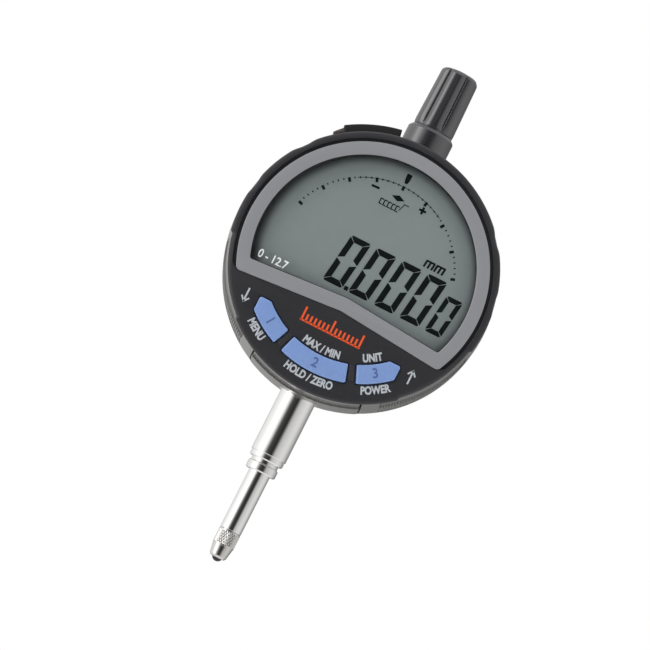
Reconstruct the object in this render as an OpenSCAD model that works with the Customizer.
// Digital dial indicator with an 8 mm clamping stem and a display that turns.
// The spindle runs along Z and its contact point looks down; the display faces -Y.
// The origin is on the spindle's axis at the middle of the stem's clamping length.
// All sizes are in millimetres.

/* [Stem] */
// Diameter of the clamping stem
stem_d = 8; // [7.9:0.1:8.2]
// Length of the stem's clamping diameter
stem_len = 13.8; // [13:0.1:18]
// Length of the relieved band at the stem's lower end
stem_band = 1.3; // [0.8:0.1:2]

/* [Spindle] */
// Diameter of the spindle
spindle_d = 4.8; // [4.6:0.1:4.9]
// Full travel of the spindle
travel = 12.7; // [10:0.1:12.8]
// Length of spindle that shows between the bush and the contact point
spindle_show = 13.8; // [13.2:0.1:16]

/* [Contact point] */
// Length of the steel contact point without its ball
contact_len = 6.2; // [5:0.1:8]
// Diameter over the knurl of the contact point
contact_d = 4.8; // [4.4:0.1:5]
// Diameter of the carbide ball
ball_d = 2.4; // [2:0.1:2.8]

/* [Case] */
// Largest radius of the metal case
case_r = 29.3; // [29.2:0.05:29.6]
// Radius of the case's front edge, behind the bezel
case_front_r = 28.35; // [28.2:0.05:28.6]
// Number of grip grooves on each side of the case
grip_count = 34; // [10:1:40]

/* [Display] */
// Outer radius of the bezel
bezel_r = 28.7; // [28.4:0.1:28.8]
// Outer radius of the window frame
frame_r = 26.5; // [26.3:0.1:26.6]
// Radius of the window opening
window_r = 23.7; // [22.5:0.1:24]

/* [Buttons] */
// Inner radius of the ring of buttons
button_in = 20.5; // [20.2:0.05:20.7]
// Outer radius of the ring of buttons
button_out = 24.5; // [24.2:0.05:24.6]
// Height of the buttons above the panel
button_proud = 0.55; // [0.3:0.05:0.8]
// Travel of a button
button_travel = 0.5; // [0.3:0.05:0.5]

/* [Spindle cap] */
// Diameter of the cap at its base
cap_base_d = 9.3; // [9:0.1:9.4]
// Diameter of the cap at its top
cap_top_d = 8.4; // [8.2:0.1:8.8]
// Length of the cap
cap_len = 13.8; // [13:0.1:15]
// Number of grip lines down the cap
cap_lines = 6; // [4:1:8]

/* [Lug back] */
// Thickness of the lug along X
lug_w = 6.4; // [5:0.1:8]
// Diameter of the hole in the lug
lug_hole_d = 6.5; // [5:0.1:7]
// Distance from the spindle's axis back to the lug hole
lug_y = 15.5; // [14.5:0.1:18]

/* [Hidden] */
$fn = 96;
eps = 0.01;

// heights on the spindle's axis
stem_r = stem_d / 2;
shoulder_r = 4.5;
shoulder_drop = 0.15;
stem_top = stem_len / 2;
face_z = stem_top + case_r + shoulder_drop;
stem_low = -stem_len / 2 - stem_band;
neck_len = 0.8;
ring_len = 1.95;
ring_top = stem_low - neck_len;
ring_low = ring_top - ring_len;
spindle_low = ring_low - spindle_show;
contact_low = spindle_low - contact_len;
ball_proud = 0.8;
stem_inner_top = face_z - 22.5;
buffer_top = stem_inner_top + 1;
stop_low = buffer_top + 0.3;
stop_high = stop_low + 2.2;
carrier_low = stop_high + 0.1;
carrier_high = carrier_low + 8;
pin_z = (carrier_low + carrier_high) / 2 - face_z;
scale_high = carrier_low + 22;
boss_low = face_z + 22;
collar_low = face_z + 29.2;
collar_high = face_z + 33.9;
cap_low = face_z + 34.8;
cap_high = cap_low + cap_len;
spindle_high = face_z + 32.6;

// radii on the spindle's axis
spindle_r = spindle_d / 2;
run_gap = 0.02;
bush_r = 3.2;
band_r = 3.8;
stop_r = 3.5;
collar_r = 5.25;
nipple_r = 3.5;
nipple_bore_r = 2.8;
thread_r = 1.25;

// depths along Y, front negative
bezel_front = -15.4;
bezel_back = -14.2;
frame_front = -15.65;
case_front = -14;
seat_front = -7;
seat_back = -5.6;
case_back = 6.5;
cover_back = 9;
window_back = -13.2;
button_back = -13.2;
dome_front = button_back + button_travel + 0.2;
lcd_front = -12.6;
lcd_back = -11.2;
board_front = -10.6;
board_back = -9.6;
drum_floor = -8.3;
drum_back = -7.3;
hub_back = -4.4;

// radii about the display's axis
drum_r = 26.2;
drum_bore_r = 25.4;
front_bore_r = 26.6;
rear_bore_r = 26.8;
hub_r = 12.6;
hub_bore_r = 10.5;

// places in the rear chamber, measured from the display's axis
screw_x = 17.2;
battery_x = 13.5;
battery_z = -3;
battery_r = 5.8;
board_post = [[18.5, 10], [18.5, -11]];
bracket_screw_x = -19;
bracket_screw_z = 4.5;
drum_post = [20.3, -12.9];
connector_a = -24;
strip_a = [-33.7, -10.7];
flap_a = -38.2;
pad_half_a = 25.5;
grip_a = [104, 146];

// outlines of the window, each [radius, height of the lower edge at the centre, slope, corner radius]
frame_line = [frame_r, -10.35, 0.085, 1.1];
window_line = [window_r, -7.35, 0.078, 0.6];
lens_line = [25, -9, 0.08, 0.6];
holder_line = [25.3, -9.6, 0.08, 0.8];
aperture_line = [23.9, -7.55, 0.078, 0.6];
lcd_line = [24.4, -8.2, 0.08, 0.6];
reflector_line = [24.2, -5.5, 0.08, 0.6];

// solid between two depths whose outline is given as X and the height above the display's axis
module slab(front, back) {
    translate([0, back, face_z]) rotate([90, 0, 0]) linear_extrude(back - front) children();
}

// solid of revolution about the display's axis, from points [radius, y]
module lathe_y(points) {
    translate([0, 0, face_z]) rotate([90, 0, 0]) rotate_extrude($fn = 180)
        polygon([for (p = points) [p[0], -p[1]]]);
}

// solid of revolution about the spindle's axis, from points [radius, z]
module lathe_z(points) {
    rotate_extrude() polygon(points);
}

// round ring along the spindle's axis
module ring_z(r_in, r_out, low, high) {
    translate([0, 0, low]) difference() {
        cylinder(r = r_out, h = high - low);
        translate([0, 0, -eps]) cylinder(r = r_in, h = high - low + 2 * eps);
    }
}

// round pin along Y at a place measured from the display's axis
module pin_y(x, z, r, front, back) {
    slab(front, back) translate([x, z]) circle(r = r);
}

// box given by its lowest and highest corners, with heights above the display's axis
module box(low, high) {
    translate([low[0], low[1], low[2] + face_z]) cube(high - low);
}

// frame of reference on the rim, with +Z pointing outwards at an angle clockwise from the top
module at_rim(angle) {
    translate([0, 0, face_z]) rotate([0, angle, 0]) children();
}

// sector of a ring between two angles clockwise from the top, as an outline
module sector(r_in, r_out, from, to) {
    difference() {
        circle(r = r_out, $fn = 180);
        circle(r = r_in, $fn = 180);
        polygon(concat([[0, 0]], [for (i = [0 : 3 * 4])
            let (a = to + i * (360 - to + from) / 12) 2 * r_out * [sin(a), cos(a)]]));
    }
}

// points along an arc from one angle to another
function arc(centre, r, from, to, steps) =
    [for (i = [0 : steps]) let (a = from + (to - from) * i / steps) centre + r * [cos(a), sin(a)]];

// outline with a round top and a lower edge that peaks at the centre; line is as listed above
module window_shape(line) {
    r = line[0];
    m = line[2];
    rc = line[3];
    reach = r - rc;
    k = line[1] + rc * sqrt(1 + m * m);
    cx = (k * m + sqrt(k * k * m * m - (1 + m * m) * (k * k - reach * reach))) / (1 + m * m);
    cz = k - m * cx;
    side_a = atan2(cz, cx);
    polygon(concat(arc([0, 0], r, side_a, 180 - side_a, 80),
        arc([-cx, cz], rc, 180 - side_a, 270 + atan(m), 6), [[0, line[1]]],
        arc([cx, cz], rc, 270 - atan(m), 360 + side_a, 6)));
}

// outline of a button, grown by a margin; 1 is on the left, 2 at the bottom, 3 on the right
module button_shape(index, grow) {
    turn = grow / 22.3 * 57.3;
    if (index == 2) sector(button_in - grow, button_out + grow, 162.2 - turn, 197.8 + turn);
    if (index == 1) intersection() {
        sector(button_in - grow, button_out + grow, 202.9 - turn, 250);
        translate([-16.35 - grow, -40]) square([30, 24.85 + grow]);
    }
    if (index == 3) mirror([1, 0]) button_shape(1, grow);
}

// ---- case body ----

module case_shell() {
    difference() {
        union() {
            lathe_y([[front_bore_r, case_front], [case_front_r, case_front], [28.7, -12.5], [29.2, -4],
                [case_r, 2], [case_r, 5], [28.9, case_back], [rear_bore_r, case_back],
                [rear_bore_r, seat_back], [hub_r + 0.05, seat_back], [hub_r + 0.05, seat_front],
                [front_bore_r, seat_front]]);
            slab(-9.5, 5) sector(28, case_r + 0.12, 180 - pad_half_a, 180 + pad_half_a);
        }
        // groove for the drum's seal and seat for the cover's gasket
        lathe_y([[26, -13.1], [27.35, -13.1], [27.35, -11.9], [26, -11.9]]);
        slab(6, case_back + eps) difference() {
            circle(r = 27.9, $fn = 180);
            circle(r = 26, $fn = 180);
        }
    }
}

module case_bosses() {
    translate([0, 0, face_z - 28]) cylinder(r = 5.9, h = 5.7);
    translate([0, 0, boss_low]) cylinder(r = 5.5, h = 6);
    for (x = [-screw_x, screw_x], z = [-screw_x, screw_x]) pin_y(x, z, 2.8, seat_back - eps, case_back);
    for (p = board_post) pin_y(p[0], p[1], 1.6, seat_back - eps, -4);
}

// V grooves across both grip zones, following the case's draft
module grip_grooves() {
    pitch = (grip_a[1] - grip_a[0]) / grip_count;
    for (side = [-1, 1], i = [0 : grip_count - 1])
        at_rim(side * (grip_a[0] + (i + 0.5) * pitch))
            translate([0, -15, 28.62]) rotate([-88.3, 0, 0]) rotate([0, 0, 45])
                translate([-0.25, -0.25, 0]) cube([0.5, 0.5, 19.5]);
}

module case() color([0.56, 0.56, 0.55]) {
    difference() {
        union() {
            case_shell();
            case_bosses();
        }
        translate([0, 0, stem_top - 1]) cylinder(r = shoulder_r, h = 12);
        translate([0, 0, boss_low - 1]) cylinder(r = nipple_r, h = 12);
        translate([0, 0, collar_low]) cylinder(r = collar_r + 0.03, h = 4);
        for (x = [-screw_x, screw_x], z = [-screw_x, screw_x]) pin_y(x, z, 1, -1, case_back + eps);
        for (p = board_post) pin_y(p[0], p[1], 0.55, -5.5, -3.9);
        for (z = [-bracket_screw_z, bracket_screw_z]) pin_y(bracket_screw_x, z, 0.8, seat_front - 1, -4);
        // opening for the data connector, with the seat of its rubber cap
        at_rim(connector_a) translate([-4, -2.7, 25]) cube([8, 5.4, 6]);
        slab(-10.05, 4.05) sector(28.2, 32, strip_a[0] - 0.1, strip_a[1] + 0.1);
        // slots at the ends of the smooth pad round the stem, with the seam behind them
        for (side = [0, 1]) mirror([side, 0, 0]) {
            slab(case_front - eps, 5) sector(28.1, 31, 180 + pad_half_a - 0.05, 180 + pad_half_a + 0.85);
            slab(4.7, 5) sector(28.8, 31, 194, 180 + pad_half_a);
        }
        grip_grooves();
    }
}

module stem() color([0.86, 0.86, 0.87]) {
    lathe_z([[bush_r, stem_low], [band_r - 0.25, stem_low], [band_r, stem_low + 0.25], [band_r, -stem_len / 2],
        [stem_r, -stem_len / 2], [stem_r, stem_top], [shoulder_r, stem_top], [shoulder_r, stem_inner_top],
        [bush_r, stem_inner_top]]);
}

module lower_bush() color([0.8, 0.8, 0.8]) {
    bore_r = spindle_r + run_gap;
    lathe_z([[bore_r, ring_low], [3.2, ring_low], [3.42, ring_low + 0.22], [3.42, ring_top - 0.22],
        [3.2, ring_top], [3.05, ring_top], [3.05, stem_low], [bush_r, stem_low],
        [bush_r, stem_low + 9], [bore_r, stem_low + 9]]);
}

module spindle_wiper() color([0.15, 0.15, 0.15]) {
    ring_z(spindle_r + 0.03, bush_r, stem_low + 9, stem_low + 10.5);
}

module stop_buffer() color([0.1, 0.1, 0.1]) {
    ring_z(2.7, 4.4, stem_inner_top, buffer_top);
}

module upper_bush() color([0.72, 0.6, 0.35]) {
    ring_z(spindle_r + run_gap, nipple_r, boss_low, collar_low);
}

module top_collar() color([0.3, 0.3, 0.31]) {
    lathe_z([[2.7, collar_low], [collar_r, collar_low], [collar_r, collar_high],
        [4.5, cap_low - 0.1], [4.5, cap_low], [nipple_r, cap_low], [nipple_r, cap_low + 5],
        [2.7, cap_low + 5]]);
}

module spindle_cap() color([0.22, 0.22, 0.23]) {
    base_r = cap_base_d / 2;
    top_r = cap_top_d / 2;
    difference() {
        lathe_z([[nipple_r, cap_low], [base_r, cap_low], [top_r, cap_high - 1], [top_r - 0.3, cap_high - 0.3],
            [top_r - 1, cap_high], [0, cap_high], [0, cap_high - 1.2], [nipple_bore_r, cap_high - 1.2],
            [nipple_bore_r, cap_low + 5.1], [nipple_r, cap_low + 5.1]]);
        for (i = [0 : cap_lines - 1]) rotate([0, 0, 54 + i * 360 / cap_lines])
            translate([top_r - 0.15, -0.12, cap_low + 0.6]) cube([1, 0.24, cap_len]);
    }
}

module cover_gasket() color([0.08, 0.08, 0.08]) {
    slab(6, case_back) difference() {
        circle(r = 27.8, $fn = 180);
        circle(r = 27.25, $fn = 180);
    }
}

module back_cover() color([0.5, 0.5, 0.5]) {
    difference() {
        union() {
            lathe_y([[0, case_back], [28.9, case_back], [28.9, 7.8], [27.8, cover_back], [0, cover_back]]);
            translate([-lug_w / 2, 0, face_z]) rotate([90, 0, 90]) linear_extrude(lug_w) {
                translate([cover_back - 0.5, -7.5]) square([lug_y - cover_back + 0.5, 15]);
                translate([lug_y, 0]) circle(r = 7.5);
            }
        }
        translate([-lug_w, lug_y, face_z]) rotate([0, 90, 0]) cylinder(d = lug_hole_d, h = 2 * lug_w);
        pin_y(battery_x, battery_z, 7.45, 6, 10);
        for (x = [-screw_x, screw_x], z = [-screw_x, screw_x]) {
            pin_y(x, z, 1.1, 6, 10);
            pin_y(x, z, 2.1, 7.8, 10);
        }
        for (z = [-18.4, 2]) pin_y(0, z, 0.8, 6, 8.2);
    }
}

// round-headed screw along Y with a slot, its head towards +Y
module screw(x, z, head_r, head, shank_r, tip) {
    difference() {
        pin_y(x, z, head_r, head[0], head[1]);
        box([x - head_r, head[1] - 0.4, z - 0.2], [x + head_r, head[1] + 1, z + 0.2]);
    }
    pin_y(x, z, shank_r, tip, head[0]);
}

module cover_screws() color([0.7, 0.7, 0.7]) {
    for (x = [-screw_x, screw_x], z = [-screw_x, screw_x]) screw(x, z, 2, [7.8, 8.8], 0.95, -0.5);
}

module guide_rail() color([0.75, 0.62, 0.35]) {
    difference() {
        box([-3, 3.7, -20], [3, case_back, 4]);
        box([-0.78, 3, pin_z - 1.3], [0.78, 7, pin_z + travel + 1.3]);
        for (z = [-18.4, 2]) {
            pin_y(0, z, 0.8, 3, 7);
            pin_y(0, z, 1.4, 3, 4.7);
        }
    }
}

module rail_screws() color([0.7, 0.7, 0.7]) {
    for (z = [-18.4, 2]) {
        pin_y(0, z, 1.3, 3.9, 4.7);
        pin_y(0, z, 0.75, 4.7, 8);
    }
}

module detector_bracket() color([0.6, 0.6, 0.62]) {
    difference() {
        union() {
            box([-22, -4, -7], [-6.2, -2.3, 7]);
            box([-22, seat_back, -7], [-16, -4, 7]);
        }
        for (z = [-bracket_screw_z, bracket_screw_z]) pin_y(bracket_screw_x, z, 0.85, -6, -2);
    }
}

module bracket_screws() color([0.7, 0.7, 0.7]) {
    for (z = [-bracket_screw_z, bracket_screw_z]) screw(bracket_screw_x, z, 1.5, [-2.3, -1.4], 0.75, -6.5);
}

module detector_head() color([0.1, 0.35, 0.2]) {
    difference() {
        box([-13, -2.3, -6], [-6.2, -1.3, 6]);
        for (z = [-5, 5]) pin_y(-12, z, 0.4, -3, -1);
    }
}

// compression spring between the scale carrier and the upper boss
module return_spring() color([0.75, 0.75, 0.77]) {
    turns = 9;
    steps = 20;
    sides = 6;
    coil_r = 3.4;
    wire_r = 0.3;
    low = carrier_high + wire_r + 0.05;
    rise = (boss_low - wire_r - 0.05 - low) / (turns * steps);
    count = turns * steps + 1;
    points = [for (i = [0 : count - 1], j = [0 : sides - 1])
        let (a = i * 360 / steps, b = j * 360 / sides, r = coil_r + wire_r * cos(b))
        [r * cos(a), r * sin(a), low + i * rise + wire_r * sin(b)]];
    walls = [for (i = [0 : count - 2], j = [0 : sides - 1])
        let (k = (j + 1) % sides) [i * sides + j, i * sides + k, (i + 1) * sides + k, (i + 1) * sides + j]];
    ends = [[for (j = [sides - 1 : -1 : 0]) j], [for (j = [0 : sides - 1]) (count - 1) * sides + j]];
    polyhedron(points, concat(walls, ends), convexity = 10);
}

module sensor_board() color([0.1, 0.35, 0.2]) {
    difference() {
        box([5.5, -4, -14], [21.5, -3, 13]);
        for (p = board_post) pin_y(p[0], p[1], 0.6, -5, -2);
    }
}

module board_screws() color([0.7, 0.7, 0.7]) {
    for (p = board_post) screw(p[0], p[1], 1.4, [-3, -2.2], 0.5, -5.3);
}

// flat spiral cable inside the hub, with the tail that lies on the sensor board
module flex_cable() color([0.75, 0.45, 0.1]) {
    steps = 48;
    thick = 0.25;
    slab(-6.9, -4.6) polygon(concat(
        [for (i = [0 : steps]) (9.6 - 3 * i / steps) * [cos(i * 15), sin(i * 15)]],
        [for (i = [steps : -1 : 0]) (9.6 - thick - 3 * i / steps) * [cos(i * 15), sin(i * 15)]]));
    box([7.6, -4.6, -1.5], [9.8, -4, 1.5]);
}

module battery_holder() color([0.12, 0.12, 0.12]) {
    difference() {
        pin_y(battery_x, battery_z, 7, -3, 6.3);
        pin_y(battery_x, battery_z, battery_r + 0.1, -2.2, 7);
    }
}

module battery_contact() color([0.85, 0.75, 0.5]) {
    translate([battery_x, 0, face_z + battery_z - 1.5]) linear_extrude(3)
        polygon([[-4.5, -2.2], [4.5, -2.2], [4.5, -1.9], [-3.9, -1.9], [3.2, 0.6], [2.9, 0.8], [-4.5, -1.7]]);
}

module battery() color([0.82, 0.82, 0.84]) {
    pin_y(battery_x, battery_z, battery_r - 0.5, 0.9, 1.3);
    pin_y(battery_x, battery_z, battery_r, 1.3, 6.3);
}

module battery_seal() color([0.08, 0.08, 0.08]) {
    slab(7.3, 8) translate([battery_x, battery_z]) difference() {
        circle(r = 7.42);
        circle(r = 6.8);
    }
}

module battery_cover() color([0.25, 0.25, 0.26]) {
    difference() {
        pin_y(battery_x, battery_z, 7.3, case_back, cover_back);
        slab(7.3, 8) translate([battery_x, battery_z]) difference() {
            circle(r = 8);
            circle(r = 6.8);
        }
        box([battery_x - 5, 8.1, battery_z - 0.6], [battery_x + 5, 10, battery_z + 0.6]);
    }
}

module data_connector() color([0.1, 0.1, 0.1]) {
    at_rim(connector_a) difference() {
        translate([-3.6, -2.2, 21]) cube([7.2, 4.4, 6.6]);
        translate([-2.8, -1.4, 23]) cube([5.6, 2.8, 6]);
    }
}

module connector_pins() color([0.85, 0.7, 0.3]) {
    at_rim(connector_a) for (x = [-2 : 1 : 2], y = [-0.6, 0.6])
        translate([x - 0.2, y - 0.2, 23]) cube([0.4, 0.4, 1.3]);
}

module connector_cap() color([0.12, 0.12, 0.12]) {
    slab(-10, 4) sector(28.2, 31.05, strip_a[0], strip_a[1]);
    slab(-9, -5) sector(29.6, 30.7, flap_a, strip_a[0] + 0.2);
    at_rim(connector_a) translate([-2.6, -1.2, 24.6]) cube([5.2, 2.4, 4]);
}

module drum_seal() color([0.08, 0.08, 0.08]) {
    translate([0, -12.5, face_z]) rotate([90, 0, 0]) rotate_extrude($fn = 180)
        translate([26.8, 0]) circle(r = 0.5, $fn = 24);
}

// ---- spindle body ----

module spindle() color([0.88, 0.88, 0.89]) {
    difference() {
        lathe_z([[0, spindle_low], [spindle_r - 0.2, spindle_low], [spindle_r, spindle_low + 0.2],
            [spindle_r, spindle_high - 0.4], [spindle_r - 0.4, spindle_high], [0, spindle_high]]);
        translate([0, 0, spindle_low - 1]) cylinder(r = thread_r, h = 7);
    }
}

module contact_point() color([0.78, 0.77, 0.75]) {
    knurl_r = contact_d / 2;
    difference() {
        lathe_z([[0, spindle_low + 5.5], [thread_r, spindle_low + 5.5], [thread_r, spindle_low],
            [knurl_r - 0.2, spindle_low], [knurl_r, spindle_low - 0.5], [knurl_r, spindle_low - 3.2],
            [knurl_r - 0.1, spindle_low - 3.5], [1.9, contact_low + 0.45], [1.55, contact_low],
            [0, contact_low]]);
        translate([0, 0, contact_low + ball_d / 2 - ball_proud]) sphere(d = ball_d);
    }
}

module contact_ball() color([0.2, 0.2, 0.21]) {
    translate([0, 0, contact_low + ball_d / 2 - ball_proud]) sphere(d = ball_d);
}

module stop_ring() color([0.7, 0.7, 0.7]) {
    ring_z(spindle_r, stop_r, stop_low, stop_high);
}

module scale_carrier() color([0.6, 0.6, 0.62]) {
    low = carrier_low - face_z;
    high = carrier_high - face_z;
    difference() {
        union() {
            box([-5.5, -3.2, low], [4, 3.2, high]);
            box([-13, 0, low], [-5, 1.2, scale_high - face_z]);
        }
        translate([0, 0, carrier_low - 1]) cylinder(r = spindle_r, h = 10);
        pin_y(0, pin_z, 0.75, 2, 4);
    }
}

module linear_scale() color([0.55, 0.65, 0.7]) {
    box([-12.5, -1, carrier_low - face_z], [-6.5, 0, scale_high - face_z]);
}

module guide_pin() color([0.75, 0.75, 0.76]) {
    pin_y(0, pin_z, 0.75, 2.45, 6);
}

// ---- display body ----

// shallow finger scallop on the bezel's edge: its centre angle, half its width and its depth
module scallop(angle, half_a, depth) {
    half = bezel_r * sin(half_a);
    sag = depth - bezel_r * (1 - cos(half_a));
    arc_r = (half * half + sag * sag) / (2 * sag);
    rotate(-angle) translate([0, bezel_r - depth + arc_r]) circle(r = arc_r, $fn = 180);
}

module bezel() color([0.2, 0.2, 0.21]) {
    difference() {
        lathe_y([[0, bezel_front], [27.7, bezel_front], [28.3, -15.2], [bezel_r, -14.85],
            [bezel_r, -14.5], [bezel_r - 0.2, bezel_back], [0, bezel_back]]);
        slab(-16, -14) window_shape(frame_line);
        slab(-16, bezel_front + 0.7) sector(frame_r - 0.3, 27.25, -117.5, 117.5);
        for (i = [1 : 3]) slab(-16, -14) button_shape(i, 0.2);
        for (side = [-1, 1]) {
            slab(-16, -14) scallop(side * 52, 6.5, 0.35);
            slab(-16, -14) scallop(side * 79, 6, 0.27);
        }
        slab(-16, -14) sector(28.1, 30, 101, 139);
        slab(-16, -14) sector(28.1, 30, -139, -101);
    }
    for (a = [159.65, 200.35]) slab(bezel_front - 0.2, bezel_front) sector(20.7, 23.9, a - 1.2, a + 1.2);
    for (side = [-1, 1]) difference() {
        pin_y(side * drum_post[0], drum_post[1], 1.3, bezel_back - eps, drum_floor);
        pin_y(side * drum_post[0], drum_post[1], 0.6, -12, -8);
    }
}

module window_frame() color([0.55, 0.55, 0.56]) {
    slab(frame_front, bezel_back) difference() {
        window_shape(frame_line);
        window_shape(window_line);
    }
}

module display_window() color([0.75, 0.8, 0.8, 0.35]) {
    slab(bezel_back, window_back) window_shape(lens_line);
}

module lcd_holder() color([0.1, 0.1, 0.1]) {
    difference() {
        slab(window_back, board_front) window_shape(holder_line);
        slab(lcd_front, -10) window_shape(lcd_line);
        slab(-14, -12) window_shape(aperture_line);
    }
}

module lcd_panel() color([0.49, 0.53, 0.51]) {
    slab(lcd_front, lcd_back) window_shape(lcd_line);
}

module reflector() color([0.85, 0.85, 0.82]) {
    slab(lcd_back, lcd_back + 0.25) window_shape(reflector_line);
}

module zebra_strip() color([0.85, 0.4, 0.5]) {
    box([-16.5, lcd_back, -8.1], [16.5, board_front, -7]);
}

module display_board() color([0.1, 0.35, 0.2]) {
    slab(board_front, board_back) difference() {
        circle(r = 24.9, $fn = 120);
        for (side = [-1, 1]) translate([side * drum_post[0], drum_post[1]]) circle(r = 1.6);
    }
}

module driver_chips() color([0.08, 0.08, 0.08]) {
    box([-5, board_back, -4], [5, board_back + 0.8, 6]);
    box([9, board_back, 2], [14, board_back + 0.8, 6]);
    box([-15, board_back, -3], [-9, board_back + 0.8, 1]);
}

module key_domes() color([0.3, 0.3, 0.3]) {
    for (a = [-34.5, 0, 34.5]) {
        pin_y(22.3 * sin(a), -22.3 * cos(a), 2, -11.4, board_front);
        pin_y(22.3 * sin(a), -22.3 * cos(a), 1.3, dome_front, -11.4);
    }
}

module display_drum() color([0.16, 0.16, 0.17]) {
    difference() {
        lathe_y([[drum_bore_r, bezel_back], [drum_r, bezel_back], [drum_r, drum_back], [hub_r, drum_back],
            [hub_r, -5.45], [12, -5.45], [12, -4.75], [hub_r, -4.75], [hub_r, hub_back],
            [hub_bore_r, hub_back], [hub_bore_r, drum_back], [4, drum_back], [4, drum_floor],
            [drum_bore_r, drum_floor]]);
        lathe_y([[20, -7.85], [22, -7.85], [22, -7], [20, -7]]);
        for (side = [-1, 1]) {
            pin_y(side * drum_post[0], drum_post[1], 0.8, -9, -7);
            pin_y(side * drum_post[0], drum_post[1], 1.6, -7.9, -7);
        }
    }
}

module drum_screws() color([0.7, 0.7, 0.7]) {
    for (side = [-1, 1]) {
        pin_y(side * drum_post[0], drum_post[1], 1.5, -7.9, -7.35);
        pin_y(side * drum_post[0], drum_post[1], 0.6, -11.8, -7.9);
    }
}

module friction_ring() color([0.1, 0.1, 0.1]) {
    slab(-7.85, -7.1) difference() {
        circle(r = 22, $fn = 120);
        circle(r = 20, $fn = 120);
    }
}

module retaining_ring() color([0.7, 0.7, 0.7]) {
    slab(-5.4, -4.8) sector(12, 14, 195, 525);
}

// ---- buttons ----

module button(index) {
    slab(bezel_front - button_proud, -14) button_shape(index, 0);
    slab(-14, button_back) button_shape(index, 0.6);
}

module button_f1() color([0.47, 0.62, 0.86]) button(1);
module button_f2() color([0.47, 0.62, 0.86]) button(2);
module button_f3() color([0.47, 0.62, 0.86]) button(3);

case();
stem();
lower_bush();
spindle_wiper();
stop_buffer();
upper_bush();
top_collar();
spindle_cap();
cover_gasket();
back_cover();
cover_screws();
guide_rail();
rail_screws();
detector_bracket();
bracket_screws();
detector_head();
return_spring();
sensor_board();
board_screws();
flex_cable();
battery_holder();
battery_contact();
battery();
battery_seal();
battery_cover();
data_connector();
connector_pins();
connector_cap();
drum_seal();
spindle();
contact_point();
contact_ball();
stop_ring();
scale_carrier();
linear_scale();
guide_pin();
bezel();
window_frame();
display_window();
lcd_holder();
lcd_panel();
reflector();
zebra_strip();
display_board();
driver_chips();
key_domes();
display_drum();
drum_screws();
friction_ring();
retaining_ring();
button_f1();
button_f2();
button_f3();
